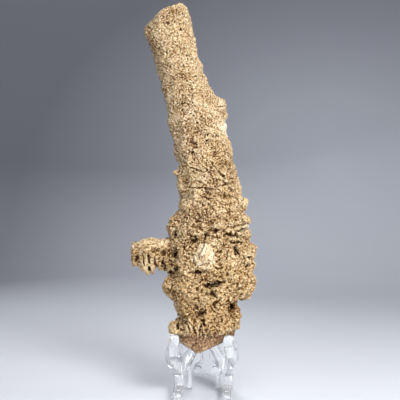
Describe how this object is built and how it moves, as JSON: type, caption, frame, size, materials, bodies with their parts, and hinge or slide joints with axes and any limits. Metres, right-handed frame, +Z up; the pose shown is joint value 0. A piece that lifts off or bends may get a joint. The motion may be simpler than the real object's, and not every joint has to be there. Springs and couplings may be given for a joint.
{
  "type": "desert rose on a display easel",
  "caption": "Tall, leaning column of sandy desert rose with a side arm and lobes, standing in a small clear plastic display easel.",
  "frame": {"origin": "on the ground under the middle of the whole object", "axes": "+Z up along the stone, -Y the face of the stone that is shown, +X to the right seen from the front; the side arm points to -X"},
  "size_m": [0.0882, 0.0682, 0.28],
  "materials": {
    "sandy_gypsum": "rough, sandy",
    "clear_plastic": "clear, moulded"
  },
  "bodies": {
    "root": {"desert_rose": "sandy_gypsum", "easel_frame": "clear_plastic", "easel_back_leg": "clear_plastic"}
  },
  "joints": []
}
